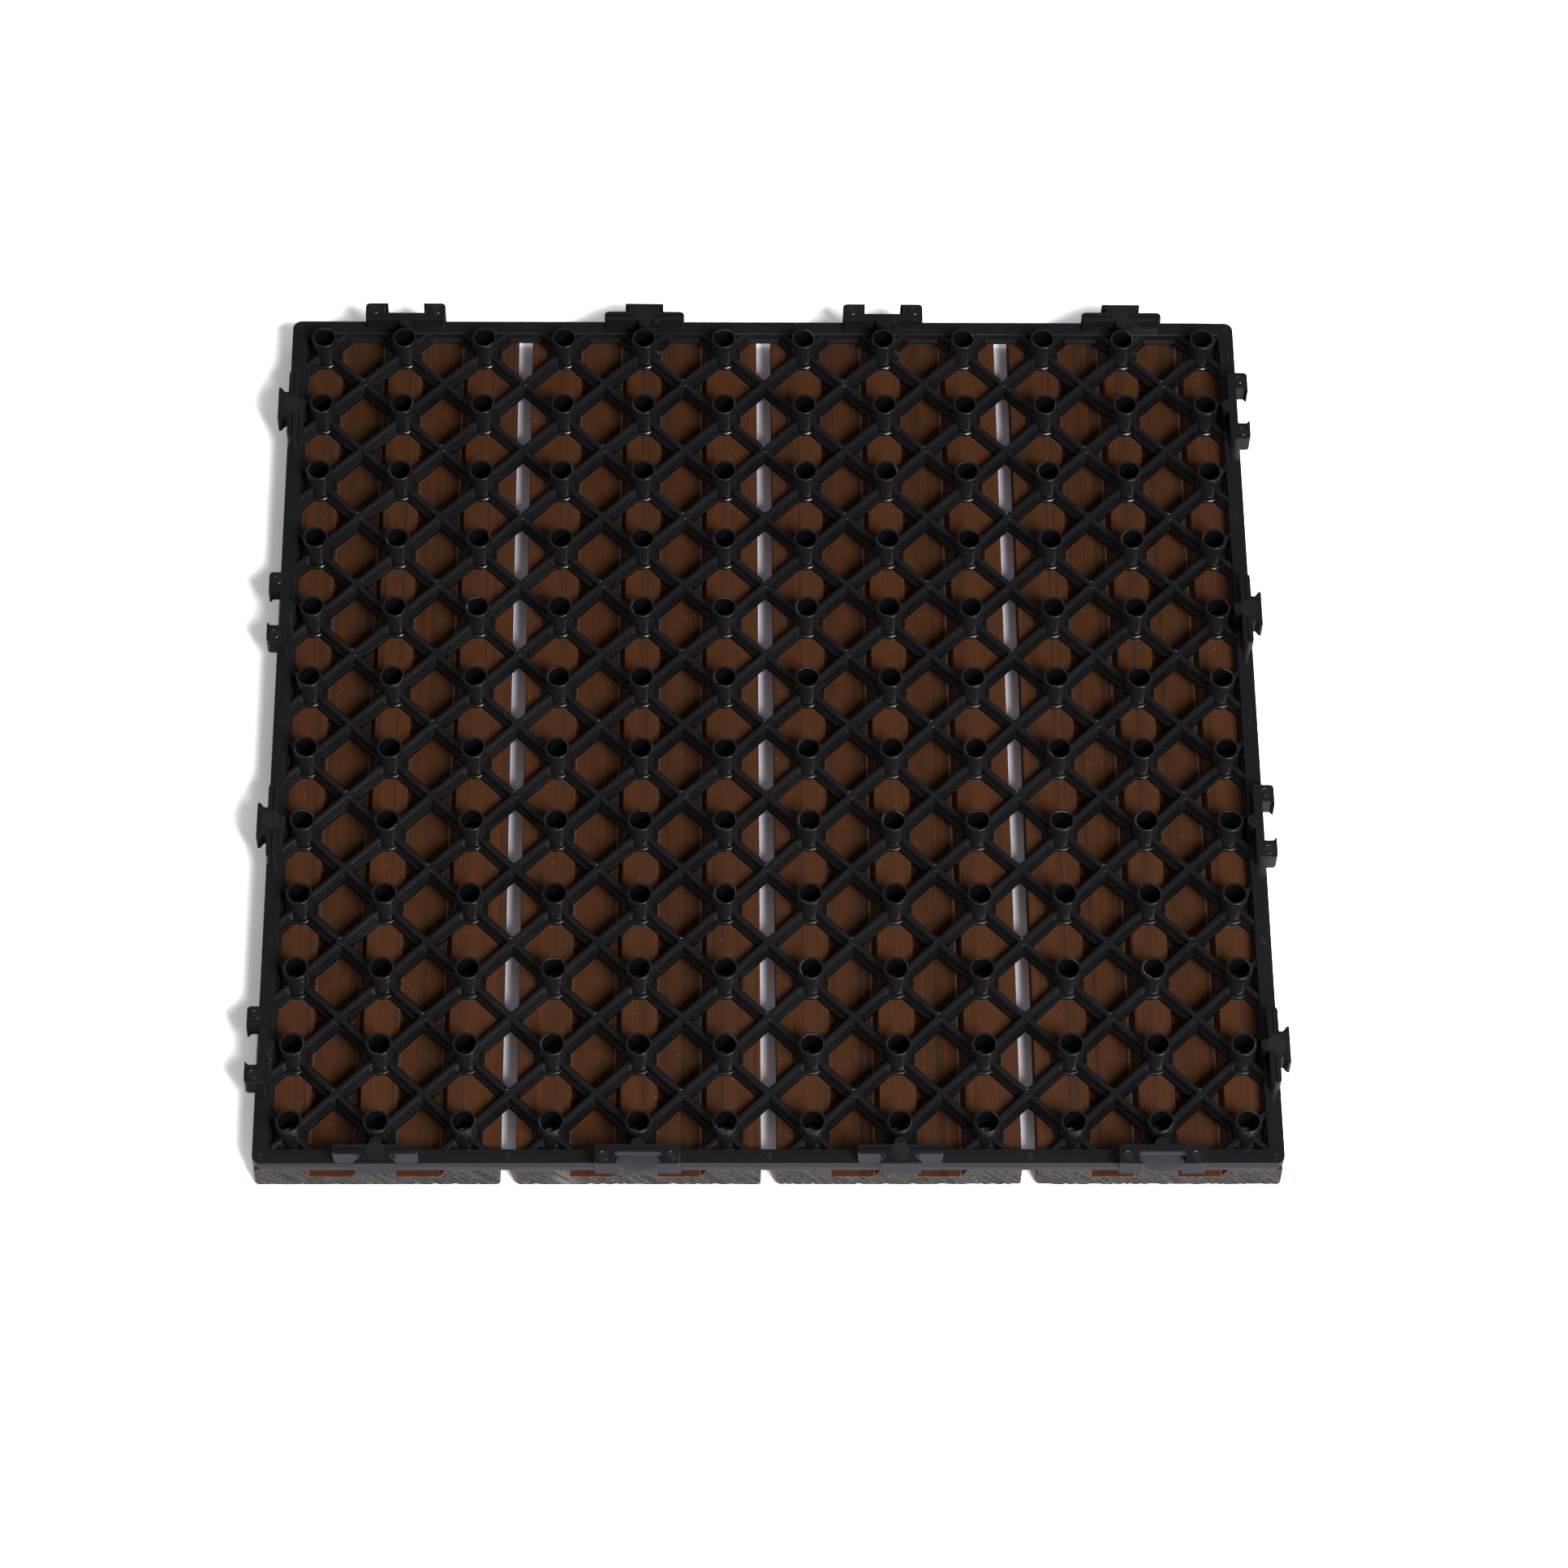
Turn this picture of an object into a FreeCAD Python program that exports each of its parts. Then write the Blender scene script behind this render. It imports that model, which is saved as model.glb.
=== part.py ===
import FreeCAD, Part
import Sketcher
import math
import os

# Interlocking deck tile, lying on its wear face with the feet of the base up.
# Four grooved slats are screwed to one moulded grid base, which clips to its
# neighbours with hooked tongues and pockets on all four sides. Millimetres.
# X runs across the slats, Y along them and Z out of the underside.

SLATS = 4
FEET_PER_SLAT = 3
FEET = SLATS * FEET_PER_SLAT
# Screws go through the outer feet of each slat, in the end row and in the row
# that many rows further in, at both ends.
ROWS_BETWEEN_SCREWS = 4
# The feet, their bores and the screws are round on the product. They are
# prisms of the same area here, which keeps so many repeats light.
ROUND_SIDES = 6
NUB_SIDES = 8

DRIVING_SIZES = {
    "foot_pitch": 25.0,
    "foot_radius": 3.8,
    "foot_height": 10.2,
    "foot_wall": 0.9,
    "foot_floor": 1.2,
    "rail_inset": 1.9,
    "rail_width": 4.7,
    "rail_height": 4.2,
    "rail_round": 2.5,
    "rib_width": 1.8,
    "rib_height": 3.7,
    "clip_width": 25.0,
    "clip_drop": 0.9,
    "clip_reach": 1.0,
    "clip_back": 5.3,
    "clip_corner": 0.9,
    "nub_radius": 2.4,
    "pocket_floor": 2.7,
    "pocket_width": 13.2,
    "mouth_width": 10.8,
    "hook_thick": 1.1,
    "plate_front": 2.5,
    "neck_width": 8.6,
    "neck_length": 1.1,
    "tongue_width": 11.8,
    "tongue_land": 0.8,
    "slat_width": 70.5,
    "slat_thick": 9.4,
    "slat_round": 1.5,
    "edge_land": 15.6,
    "groove_width": 14.4,
    "groove_depth": 4.2,
    "groove_slant": 0.5,
    "head_play": 0.4,
    "head_height": 1.6,
    "shank_radius": 1.5,
    "shank_play": 0.2,
    "tip_cover": 2.9,
}

HALF_MODULE = f"sizes.foot_pitch * {FEET / 2}"
RAIL_OUTER = f"({HALF_MODULE} - sizes.rail_inset)"
RAIL_INNER = f"({HALF_MODULE} - sizes.rail_inset - sizes.rail_width)"
BORE_RADIUS = "(sizes.foot_radius - sizes.foot_wall)"
BORE_FLOOR = "(sizes.slat_thick + sizes.foot_floor)"
SCREW_BITE = "(sizes.slat_thick - sizes.tip_cover)"
CLIP_BACK = f"{HALF_MODULE} - sizes.clip_back"
CLIP_OUTSIDE = f"{HALF_MODULE} + sizes.clip_reach"

doc = FreeCAD.newDocument("deck_tile")
sheet = doc.addObject("Spreadsheet::Sheet", "sizes")


def fill_sheet():
    for row, (alias, value) in enumerate(DRIVING_SIZES.items(), start=1):
        sheet.set(f"A{row}", alias)
        sheet.set(f"B{row}", str(value))
        sheet.setAlias(f"B{row}", alias)
    doc.recompute()


def add(kind, name, **sizes):
    item = doc.addObject(kind, name)
    for size, expression in sizes.items():
        item.setExpression(size, expression)
    return item


# A box centred on the Z axis, standing on the given level.
def centred_box(name, half, height, level):
    side = f"2 * ({half})"
    box = add("Part::Box", name, Length=side, Width=side, Height=height)
    for axis in ("x", "y"):
        box.setExpression(f"Placement.Base.{axis}", f"-({half})")
    box.setExpression("Placement.Base.z", level)
    return box


# A prism on the Z axis that stands for a round one of the given radius.
def round_prism(name, radius, height, level):
    prism = add("Part::Prism", name, Circumradius=f"{corner_stretch()} * {radius}", Height=height)
    prism.Polygon = ROUND_SIDES
    prism.Placement.Rotation = FreeCAD.Rotation(FreeCAD.Vector(0, 0, 1), first_corner())
    prism.setExpression("Placement.Base.z", level)
    return prism


# How much further out its corners are than the circle of the same area.
def corner_stretch():
    turn = 2 * math.pi / ROUND_SIDES
    return math.sqrt(turn / math.sin(turn))


# The corners keep away from the flat sides of the feet, which face X and Y.
def first_corner():
    return 90 / ROUND_SIDES


def make_body(label):
    body = doc.addObject("PartDesign::Body", label)
    body.Label = label
    return body


def pad_outline(body, corners, level, height):
    sketch = new_sketch(body, f"{body.Label}_outline")
    sketch.setExpression("AttachmentOffset.Base.z", level)
    outline(sketch, corners)
    pad = body.newObject("PartDesign::Pad", f"{body.Label}_pad")
    pad.Profile = sketch
    pad.setExpression("Length", height)


def origin_item(body, role):
    return next(item for item in body.Origin.OriginFeatures if item.Role == role)


def new_sketch(body, name, role="XY_Plane"):
    sketch = body.newObject("Sketcher::SketchObject", name)
    sketch.AttachmentSupport = [(origin_item(body, role), "")]
    sketch.MapMode = "FlatFace"
    return sketch


# Adds a closed outline of straight lines through corners given as expressions.
def outline(sketch, corners):
    count = len(corners)
    turn = 2 * math.pi / count
    rough = [FreeCAD.Vector(10 * math.cos(turn * n), 10 * math.sin(turn * n), 0) for n in range(count)]
    for n in range(count):
        sketch.addGeometry(Part.LineSegment(rough[n], rough[(n + 1) % count]), False)
    for n in range(count):
        sketch.addConstraint(Sketcher.Constraint("Coincident", n, 2, (n + 1) % count, 1))
    for n, corner in enumerate(corners):
        for kind, expression in zip(("DistanceX", "DistanceY"), corner):
            index = sketch.addConstraint(Sketcher.Constraint(kind, -1, 1, n, 1, 1.0))
            sketch.setExpression(f"Constraints[{index}]", expression)


# The whole outline from the half of it on the side of positive X.
def with_mirrored_half(corners):
    return corners + [(f"-({across})", along) for across, along in reversed(corners)]


# Copies of a shape at the given places.
def copies(shape, places):
    moved = []
    for place in places:
        copy = shape.copy()
        copy.Placement = FreeCAD.Placement(place, FreeCAD.Rotation()).multiply(shape.Placement)
        moved.append(copy)
    return moved


# Copies of a shape turned to each of the four sides of the tile.
def on_four_sides(shapes):
    turned = []
    for side in range(4):
        for shape in shapes:
            copy = shape.copy()
            copy.rotate(FreeCAD.Vector(0, 0, 0), FreeCAD.Vector(0, 0, 1), -90 * side)
            turned.append(copy)
    return turned


# Places on the grid of feet, counted in pitches from the tile's middle.
def grid_places(columns, rows):
    pitch = sheet.foot_pitch
    return [FreeCAD.Vector(column * pitch, row * pitch, 0) for column in columns for row in rows]


# Steps of one pitch centred on the tile's middle.
def steps(count):
    return [n - (count - 1) / 2 for n in range(count)]


def screw_rows():
    end = (FEET - 1) / 2
    inner = end - ROWS_BETWEEN_SCREWS
    return [-end, -inner, inner, end]


def slat_columns(slat):
    return steps(FEET)[slat * FEET_PER_SLAT:(slat + 1) * FEET_PER_SLAT]


def screw_columns(slat):
    columns = slat_columns(slat)
    return [columns[0], columns[-1]]


def all_screw_places():
    columns = [column for slat in range(SLATS) for column in screw_columns(slat)]
    return grid_places(columns, screw_rows())


# The moulded nub behind each clip, as the end of the clip's inner edge.
def nub_corners():
    corners = []
    for n in range(NUB_SIDES // 4):
        angle = f"{360 * (n + 0.5) / NUB_SIDES} deg"
        across = f"sizes.nub_radius * sin({angle})"
        corners.append((across, f"{CLIP_BACK} - sizes.nub_radius * cos({angle})"))
    return corners + [("sizes.nub_radius", CLIP_BACK)]


# A clip rises from just below the rail's top to the tops of the feet. Given is
# the half of its outline from the outer corner to the middle of its front.
def make_clip(name, side, front):
    half = "sizes.clip_width / 2"
    corner = "sizes.clip_corner"
    corners = [
        (f"{half} - {corner}", CLIP_BACK),
        (half, f"{CLIP_BACK} + {corner}"),
        (half, f"{side} - {corner}"),
        (f"{half} - {corner}", side),
    ]
    body = make_body(name)
    level = "sizes.slat_thick + sizes.rail_height - sizes.clip_drop"
    height = "sizes.foot_height - sizes.rail_height + sizes.clip_drop"
    pad_outline(body, with_mirrored_half(nub_corners() + corners + front), level, height)
    return body


# The pocket has a hook each side of its mouth, sloping in from its walls.
def make_pocket_clip():
    return make_clip("pocket_clip", CLIP_OUTSIDE, [
        ("sizes.mouth_width / 2", CLIP_OUTSIDE),
        ("sizes.pocket_width / 2", f"{CLIP_OUTSIDE} - sizes.hook_thick"),
        ("sizes.pocket_width / 2", f"{HALF_MODULE} - sizes.pocket_floor"),
    ])


# The tongue flares from its neck to a short straight land at its end.
def make_tongue_clip():
    front = f"{HALF_MODULE} - sizes.plate_front"
    return make_clip("tongue_clip", front, [
        ("sizes.neck_width / 2", front),
        ("sizes.neck_width / 2", f"{front} + sizes.neck_length"),
        ("sizes.tongue_width / 2", f"{CLIP_OUTSIDE} - sizes.tongue_land"),
        ("sizes.tongue_width / 2", CLIP_OUTSIDE),
    ])


# The rail round the grid, with its four upright outer edges rounded.
def make_rail():
    outer = centred_box("rail_outside", RAIL_OUTER, "sizes.rail_height", "sizes.slat_thick")
    inner = centred_box("rail_inside", RAIL_INNER, "sizes.rail_height", "sizes.slat_thick")
    doc.recompute()
    rounded = doc.addObject("Part::Fillet", "rail_rounded")
    rounded.Base = outer
    upright = [n for n, edge in enumerate(outer.Shape.Edges, start=1) if is_upright(edge)]
    rounded.Edges = [(n, sheet.rail_round, sheet.rail_round) for n in upright]
    rail = doc.addObject("Part::Cut", "rail")
    rail.Base = rounded
    rail.Tool = inner
    return rail


def is_upright(edge):
    ends = [vertex.Point for vertex in edge.Vertexes]
    return abs(ends[0].z - ends[1].z) > 1e-6


# One diamond opening of the grid, square and turned by 45 degrees.
def make_opening():
    side = "sizes.foot_pitch / sqrt(2) - sizes.rib_width"
    opening = add("Part::Box", "opening", Length=side, Width=side, Height="sizes.rib_height")
    opening.Placement.Rotation = FreeCAD.Rotation(FreeCAD.Vector(0, 0, 1), 45)
    opening.setExpression("Placement.Base.y", f"-({side}) / sqrt(2)")
    opening.setExpression("Placement.Base.z", "sizes.slat_thick")
    return opening


# A foot has eight sides, and the area of the round one. Its four narrow sides
# are as wide as the ribs that meet them, and the others face X and Y.
def make_foot():
    body = make_body("foot")
    flat = "sqrt(pi * sizes.foot_radius ^ 2 + sizes.rib_width ^ 2) / 2"
    side = f"{flat} - sizes.rib_width / sqrt(2)"
    quarter = [(flat, side), (side, flat)]
    right = [(across, f"-({along})") for across, along in reversed(quarter)] + quarter
    pad_outline(body, with_mirrored_half(right), "sizes.slat_thick", "sizes.foot_height")
    return body


def make_base():
    rail = make_rail()
    opening = make_opening()
    plate = centred_box("plate", RAIL_INNER, "sizes.rib_height", "sizes.slat_thick")
    foot = make_foot()
    bore = round_prism("bore", BORE_RADIUS, "sizes.foot_height - sizes.foot_floor", BORE_FLOOR)
    hole_radius = "(sizes.shank_radius + sizes.shank_play)"
    hole = round_prism("screw_hole", hole_radius, "sizes.foot_floor", "sizes.slat_thick")
    pocket_clip = make_pocket_clip()
    tongue_clip = make_tongue_clip()
    doc.recompute()

    # Openings lie between the feet, and past the outer feet as far as the rail.
    between = steps(FEET + 1)
    openings = grid_places(between, steps(FEET)) + grid_places(steps(FEET), between)
    grid = plate.Shape.cut(Part.Compound(copies(opening.Shape, openings)))

    # Along each side the slats' middles carry pockets and tongues by turns.
    middles = [slat_columns(slat)[FEET_PER_SLAT // 2] for slat in range(SLATS)]
    pockets = on_four_sides(copies(pocket_clip.Shape, grid_places(middles[0::2], [0])))
    tongues = on_four_sides(copies(tongue_clip.Shape, grid_places(middles[1::2], [0])))
    feet = grid_places(steps(FEET), steps(FEET))
    solid = grid.fuse([rail.Shape] + copies(foot.Shape, feet) + pockets + tongues)
    holes = copies(bore.Shape, feet) + copies(hole.Shape, all_screw_places())

    base = doc.addObject("Part::Feature", "base")
    base.Shape = solid.cut(Part.Compound(holes)).removeSplitter().Solids[0]
    base.Placement = FreeCAD.Placement()
    return base


# A slat of constant section, its back up, with two grooves along it and eight
# blind holes for the screws.
def make_slat(slat):
    body = make_body(f"slat_{slat + 1}")
    sketch = new_sketch(body, f"section_{slat + 1}", "XZ_Plane")
    half = "sizes.slat_width / 2"
    wall = f"{half} - sizes.edge_land"
    inner = f"{wall} - sizes.groove_width"
    floor = "sizes.slat_thick - sizes.groove_depth"
    outline(sketch, with_mirrored_half([
        (half, "0"),
        (half, "sizes.slat_thick"),
        (wall, "sizes.slat_thick"),
        (f"{wall} - sizes.groove_slant", floor),
        (f"{inner} + sizes.groove_slant", floor),
        (inner, "sizes.slat_thick"),
    ]))
    bar = body.newObject("PartDesign::Pad", f"bar_{slat + 1}")
    bar.Profile = sketch
    bar.SideType = "Symmetric"
    bar.setExpression("Length", f"2 * {RAIL_OUTER}")
    doc.recompute()

    arris = body.newObject("PartDesign::Fillet", f"arris_{slat + 1}")
    arris.Base = (bar, [f"Edge{n}" for n, edge in enumerate(bar.Shape.Edges, start=1) if is_arris(edge)])
    arris.setExpression("Radius", "sizes.slat_round")
    drill_slat(body, slat)
    middle = slat_columns(slat)[FEET_PER_SLAT // 2]
    body.setExpression("Placement.Base.x", f"sizes.foot_pitch * {middle}")
    return body


# The two long edges of the wear face.
def is_arris(edge):
    ends = [vertex.Point for vertex in edge.Vertexes]
    lies_on_floor = all(abs(end.z) < 1e-6 for end in ends)
    return lies_on_floor and abs(ends[0].x - ends[1].x) < 1e-6


def drill_slat(body, slat):
    sketch = new_sketch(body, f"drilling_{slat + 1}")
    sketch.setExpression("AttachmentOffset.Base.z", "sizes.slat_thick")
    corners = []
    for n in range(ROUND_SIDES):
        angle = f"{first_corner() + 360 * n / ROUND_SIDES} deg"
        across = f"{corner_stretch()} * sizes.shank_radius * cos({angle})"
        along = f"{corner_stretch()} * sizes.shank_radius * sin({angle})"
        column = f"sizes.foot_pitch * {(FEET_PER_SLAT - 1) / 2}"
        corners.append((f"{column} + {across}", f"sizes.foot_pitch * {screw_rows()[-1]} + {along}"))
    outline(sketch, corners)
    hole = body.newObject("PartDesign::Pocket", f"hole_{slat + 1}")
    hole.Profile = sketch
    hole.setExpression("Length", SCREW_BITE)
    row = body.newObject("PartDesign::LinearPattern", f"row_{slat + 1}")
    row.Direction = (origin_item(body, "Y_Axis"), [""])
    row.Reversed = True
    row.setExpression("Length", f"sizes.foot_pitch * {ROWS_BETWEEN_SCREWS}")
    row.Occurrences = 2
    to_end = body.newObject("PartDesign::Mirrored", f"to_end_{slat + 1}")
    to_end.MirrorPlane = (origin_item(body, "XZ_Plane"), [""])
    to_side = body.newObject("PartDesign::Mirrored", f"to_side_{slat + 1}")
    to_side.MirrorPlane = (origin_item(body, "YZ_Plane"), [""])
    holes = body.newObject("PartDesign::MultiTransform", f"holes_{slat + 1}")
    holes.Originals = [hole]
    holes.Transformations = [row, to_end, to_side]
    body.Tip = holes


# A pan-head screw seated on the floor of a foot.
def make_screws():
    head = round_prism("screw_head", f"({BORE_RADIUS} - sizes.head_play)", "sizes.head_height", BORE_FLOOR)
    length = f"sizes.foot_floor + {SCREW_BITE}"
    shank = round_prism("screw_shank", "sizes.shank_radius", length, "sizes.tip_cover")
    screw = doc.addObject("Part::Fuse", "screw")
    screw.Base = head
    screw.Tool = shank
    doc.recompute()
    screws = doc.addObject("Part::Feature", "screws")
    screws.Shape = Part.Compound(copies(screw.Shape, all_screw_places()))
    screws.Placement = FreeCAD.Placement()
    return screws


def write_parts(parts):
    doc.recompute()
    for item in doc.Objects:
        if "Invalid" in item.State or "Error" in item.State:
            raise RuntimeError(f"{item.Label} failed")
    os.makedirs("parts", exist_ok=True)
    for part in parts:
        shape = part.Shape
        if shape.isNull() or not shape.isValid():
            raise RuntimeError(f"{part.Label} has no valid shape")
        shape.exportStep(f"parts/{part.Label}.step")
        print(part.Label, len(shape.Solids), "solids", round(shape.Volume), "mm3")


fill_sheet()
base = make_base()
slats = [make_slat(slat) for slat in range(SLATS)]
screws = make_screws()
write_parts([base] + slats + [screws])
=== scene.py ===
import bpy
import math
import numpy as np
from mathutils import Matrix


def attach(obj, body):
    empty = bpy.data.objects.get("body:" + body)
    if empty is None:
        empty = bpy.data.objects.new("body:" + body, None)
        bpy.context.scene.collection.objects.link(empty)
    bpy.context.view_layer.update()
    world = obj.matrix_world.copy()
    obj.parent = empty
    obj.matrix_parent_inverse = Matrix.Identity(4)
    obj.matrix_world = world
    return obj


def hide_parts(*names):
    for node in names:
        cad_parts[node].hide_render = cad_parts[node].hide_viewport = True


# The deck tile lies face down, as it is photographed: four composite slats on the
# floor, and the black grid base with its feet up. Sizes of the pieces are in
# millimetres, and those of the materials, the floor and the lamps are in metres.
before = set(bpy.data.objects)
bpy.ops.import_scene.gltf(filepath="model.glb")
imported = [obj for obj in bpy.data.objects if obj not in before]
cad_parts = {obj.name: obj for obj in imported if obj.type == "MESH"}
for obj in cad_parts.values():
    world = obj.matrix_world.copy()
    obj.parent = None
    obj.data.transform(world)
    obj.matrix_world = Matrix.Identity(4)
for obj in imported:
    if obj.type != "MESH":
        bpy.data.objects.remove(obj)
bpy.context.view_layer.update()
mm = 0.001
random = np.random.default_rng(12)
print("frame loaded")

layout = {
    "pitch": 25.0,          # between feet, both ways
    "feet": 12,             # along each side
    "slats": 4,
    "slatTop": 9.4,         # the backs of the slats, where the base lies
    "grooveFloor": 5.2,     # of the two grooves in each back
    "feetTop": 19.6,
    "railTop": 13.6,
    "railOuter": 148.1,     # from the tile's middle
    "railInner": 143.4,
}


# A shape is a dictionary of arrays: its points, its four-sided faces, the caps at
# its ends and, where a material asks for it, a mark for each point.
def joined(shapes):
    points, quads, caps, marks = [], [], [], []
    start = 0
    for shape in shapes:
        points.append(shape["points"])
        marks.append(shape.get("mark", np.zeros(len(shape["points"]))))
        quads += (shape["quads"] + start).tolist()
        caps += (shape["caps"] + start).tolist()
        start += len(shape["points"])
    return np.concatenate(points), quads + caps, np.concatenate(marks)


def makePiece(name, shapes, material, sharpAngle=20):
    points, faces, marks = joined(shapes)
    mesh = bpy.data.meshes.new(name)
    mesh.from_pydata((points * mm).tolist(), [], faces)
    mesh.validate()
    mesh.shade_smooth()
    mesh.set_sharp_from_angle(angle=math.radians(sharpAngle))
    if marks.any():
        mark = mesh.attributes.new("mark", "FLOAT", "POINT")
        mark.data.foreach_set("value", marks.astype(np.float32))
    mesh.materials.append(material)
    piece = bpy.data.objects.new(name, mesh)
    bpy.context.scene.collection.objects.link(piece)
    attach(piece, "root")
    return piece


# Faces of a closed outline repeated on several levels, with a cap at each end.
# Quad (k, i) joins points i and i + 1 of level k to the same two of level k + 1.
def tubeFaces(levels, around):
    level, step = np.meshgrid(np.arange(levels - 1), np.arange(around), indexing="ij")
    after = (step + 1) % around
    quads = np.stack([level * around + step, level * around + after,
                      (level + 1) * around + after, (level + 1) * around + step], axis=-1)
    bottom = np.arange(around)[::-1]
    top = np.arange(around) + (levels - 1) * around
    return quads.reshape(-1, 4), np.stack([bottom, top])


# A profile turned about the Z axis: point (k, i) is at radius r_k and height z_k
# and at the i-th of equal angles, unless carve changes these radii and heights.
# Both ends are closed by flat discs.
def turned(profile, around, carve=None):
    profile = np.array(profile, float)
    angle = 2 * np.pi * np.arange(around) / around
    radius = profile[:, :1] * np.ones(around)
    height = profile[:, 1:] * np.ones(around)
    if carve is not None:
        radius, height = carve(radius, height, angle)
    points = np.stack([radius * np.cos(angle), radius * np.sin(angle), height], axis=-1)
    quads, caps = tubeFaces(len(profile), around)
    return {"points": points.reshape(-1, 3), "quads": quads, "caps": caps}


# A closed outline with each corner P replaced by the curve
# (1 - s)^2 A + 2 s (1 - s) P + s^2 B, where A and B lie on its two sides, as far
# from P as an arc of that radius would touch them.
def rounded(corners, radii, steps=4):
    corner = np.array(corners, float)
    before = np.roll(corner, 1, axis=0) - corner
    after = np.roll(corner, -1, axis=0) - corner
    before /= np.linalg.norm(before, axis=1, keepdims=True)
    after /= np.linalg.norm(after, axis=1, keepdims=True)
    half = np.arccos(np.clip((before * after).sum(1), -1, 1)) / 2
    reach = (np.array(radii, float) / np.tan(half))[:, None]
    s = np.linspace(0, 1, steps)[None, :, None]
    start, end = (corner + reach * before)[:, None], (corner + reach * after)[:, None]
    curve = (1 - s) ** 2 * start + 2 * s * (1 - s) * corner[:, None] + s ** 2 * end
    return curve.reshape(-1, 2)


# The outline moved inwards: each point goes along the mean of the normals of its
# two sides, by the distance over the cosine of half the turn there.
def inset(outline, distance):
    side = np.roll(outline, -1, axis=0) - outline
    normal = np.stack([-side[:, 1], side[:, 0]], axis=1)
    normal /= np.linalg.norm(normal, axis=1, keepdims=True)
    mean = normal + np.roll(normal, 1, axis=0)
    mean /= (mean ** 2).sum(1, keepdims=True) / 2
    return outline + distance * mean


# The outline carried up through levels, each (height, inset), and its corners
# rounded at each level.
def raised(corners, radii, levels, steps=5):
    layers = []
    for height, by in levels:
        outline = rounded(inset(np.array(corners, float), by), radii, steps)
        layers.append(np.column_stack([outline, np.full(len(outline), height)]))
    quads, caps = tubeFaces(len(levels), len(layers[0]))
    return {"points": np.concatenate(layers), "quads": quads, "caps": caps}


# An outline across the X axis, carried along it.
def carried(outline, start, end):
    rings = [np.column_stack([np.full(len(outline), along), outline]) for along in (start, end)]
    quads, caps = tubeFaces(2, len(outline))
    return {"points": np.concatenate(rings), "quads": quads, "caps": caps}


# The shape turned about the Z axis by an angle, then moved by (x, y).
def moved(shape, place, turn=0.0):
    c, s = math.cos(turn), math.sin(turn)
    spin = np.array([[c, s, 0], [-s, c, 0], [0, 0, 1]])
    return {**shape, "points": shape["points"] @ spin + np.array([*place, 0.0])}


def repeated(shape, places):
    return [moved(shape, place) for place in places]


# Shapes made for the far side, and again on the other three.
def onFourSides(shapes):
    return [moved(shape, (0, 0), -side * math.pi / 2) for side in range(4) for shape in shapes]


gridLine = (np.arange(layout["feet"]) - (layout["feet"] - 1) / 2) * layout["pitch"]
footPlaces = [(x, y) for y in gridLine[::-1] for x in gridLine]   # from the far left, row by row


def footPlace(column, row):
    return footPlaces[(row - 1) * layout["feet"] + column - 1]


# Nodes of the materials


def newGroup(name, inputs, outputs):
    group = bpy.data.node_groups.new(name, "ShaderNodeTree")
    for label, kind, value in inputs:
        socket = group.interface.new_socket(label, in_out="INPUT", socket_type=kind)
        socket.default_value = value
    for label, kind in outputs:
        group.interface.new_socket(label, in_out="OUTPUT", socket_type=kind)
    return group, group.nodes.new("NodeGroupInput"), group.nodes.new("NodeGroupOutput")


# A node with its settings. A value given for one of its inputs is linked where it is
# another node's output, and set where it is a number or a colour.
def addNode(tree, kind, values=None, **settings):
    node = tree.nodes.new(kind)
    for name, value in settings.items():
        setattr(node, name, value)
    for socket, value in (values or {}).items():
        if isinstance(value, bpy.types.NodeSocket):
            tree.links.new(value, node.inputs[socket])
        else:
            node.inputs[socket].default_value = value
    return node


def mathOf(tree, operation, first, second=0.0, third=0.0):
    values = {0: first, 1: second, 2: third}
    return addNode(tree, "ShaderNodeMath", values, operation=operation).outputs[0]


def productOf(tree, first, *others):
    for other in others:
        first = mathOf(tree, "MULTIPLY", first, other)
    return first


def distanceFrom(tree, place, value):
    return mathOf(tree, "ABSOLUTE", mathOf(tree, "SUBTRACT", value, place))


# As the value goes from low to high, the result goes smoothly from start to end.
# Low may be above high. The looks below give a ramp as these two or four numbers.
def rampOf(tree, value, low, high, start=0.0, end=1.0):
    values = {"Value": value, "From Min": low, "From Max": high, "To Min": start, "To Max": end}
    return addNode(tree, "ShaderNodeMapRange", values, interpolation_type="SMOOTHSTEP").outputs["Result"]


# The Mix node takes its colours in sockets 6 and 7, and puts out a colour in 2.
def mixOf(tree, factor, first, second, blend="MIX"):
    values = {0: factor, 6: first, 7: second}
    return addNode(tree, "ShaderNodeMix", values, data_type="RGBA", blend_type=blend).outputs[2]


def noiseOf(tree, coordinates, scale, detail, roughness=0.55):
    values = {"Vector": coordinates, "Scale": scale, "Detail": detail, "Roughness": roughness}
    return addNode(tree, "ShaderNodeTexNoise", values).outputs["Fac"]


# A noise with a scale of its own along each axis.
def stretchedNoise(tree, coordinates, scales, detail):
    values = {0: coordinates, 1: scales}
    stretched = addNode(tree, "ShaderNodeVectorMath", values, operation="MULTIPLY").outputs[0]
    return noiseOf(tree, stretched, 1.0, detail)


def bumpOf(tree, height, distance, strength):
    values = {"Height": height, "Distance": distance, "Strength": strength}
    return addNode(tree, "ShaderNodeBump", values).outputs["Normal"]


def axesOf(tree, vector):
    return addNode(tree, "ShaderNodeSeparateXYZ", {0: vector}).outputs


def markOf(tree):
    return addNode(tree, "ShaderNodeAttribute", attribute_name="mark").outputs["Fac"]


def objectCoordinates(tree):
    return addNode(tree, "ShaderNodeTexCoord").outputs["Object"]


def newMaterial(name):
    material = bpy.data.materials.new(name)
    material.use_nodes = True
    tree = material.node_tree
    return material, tree, tree.nodes["Principled BSDF"]


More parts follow.
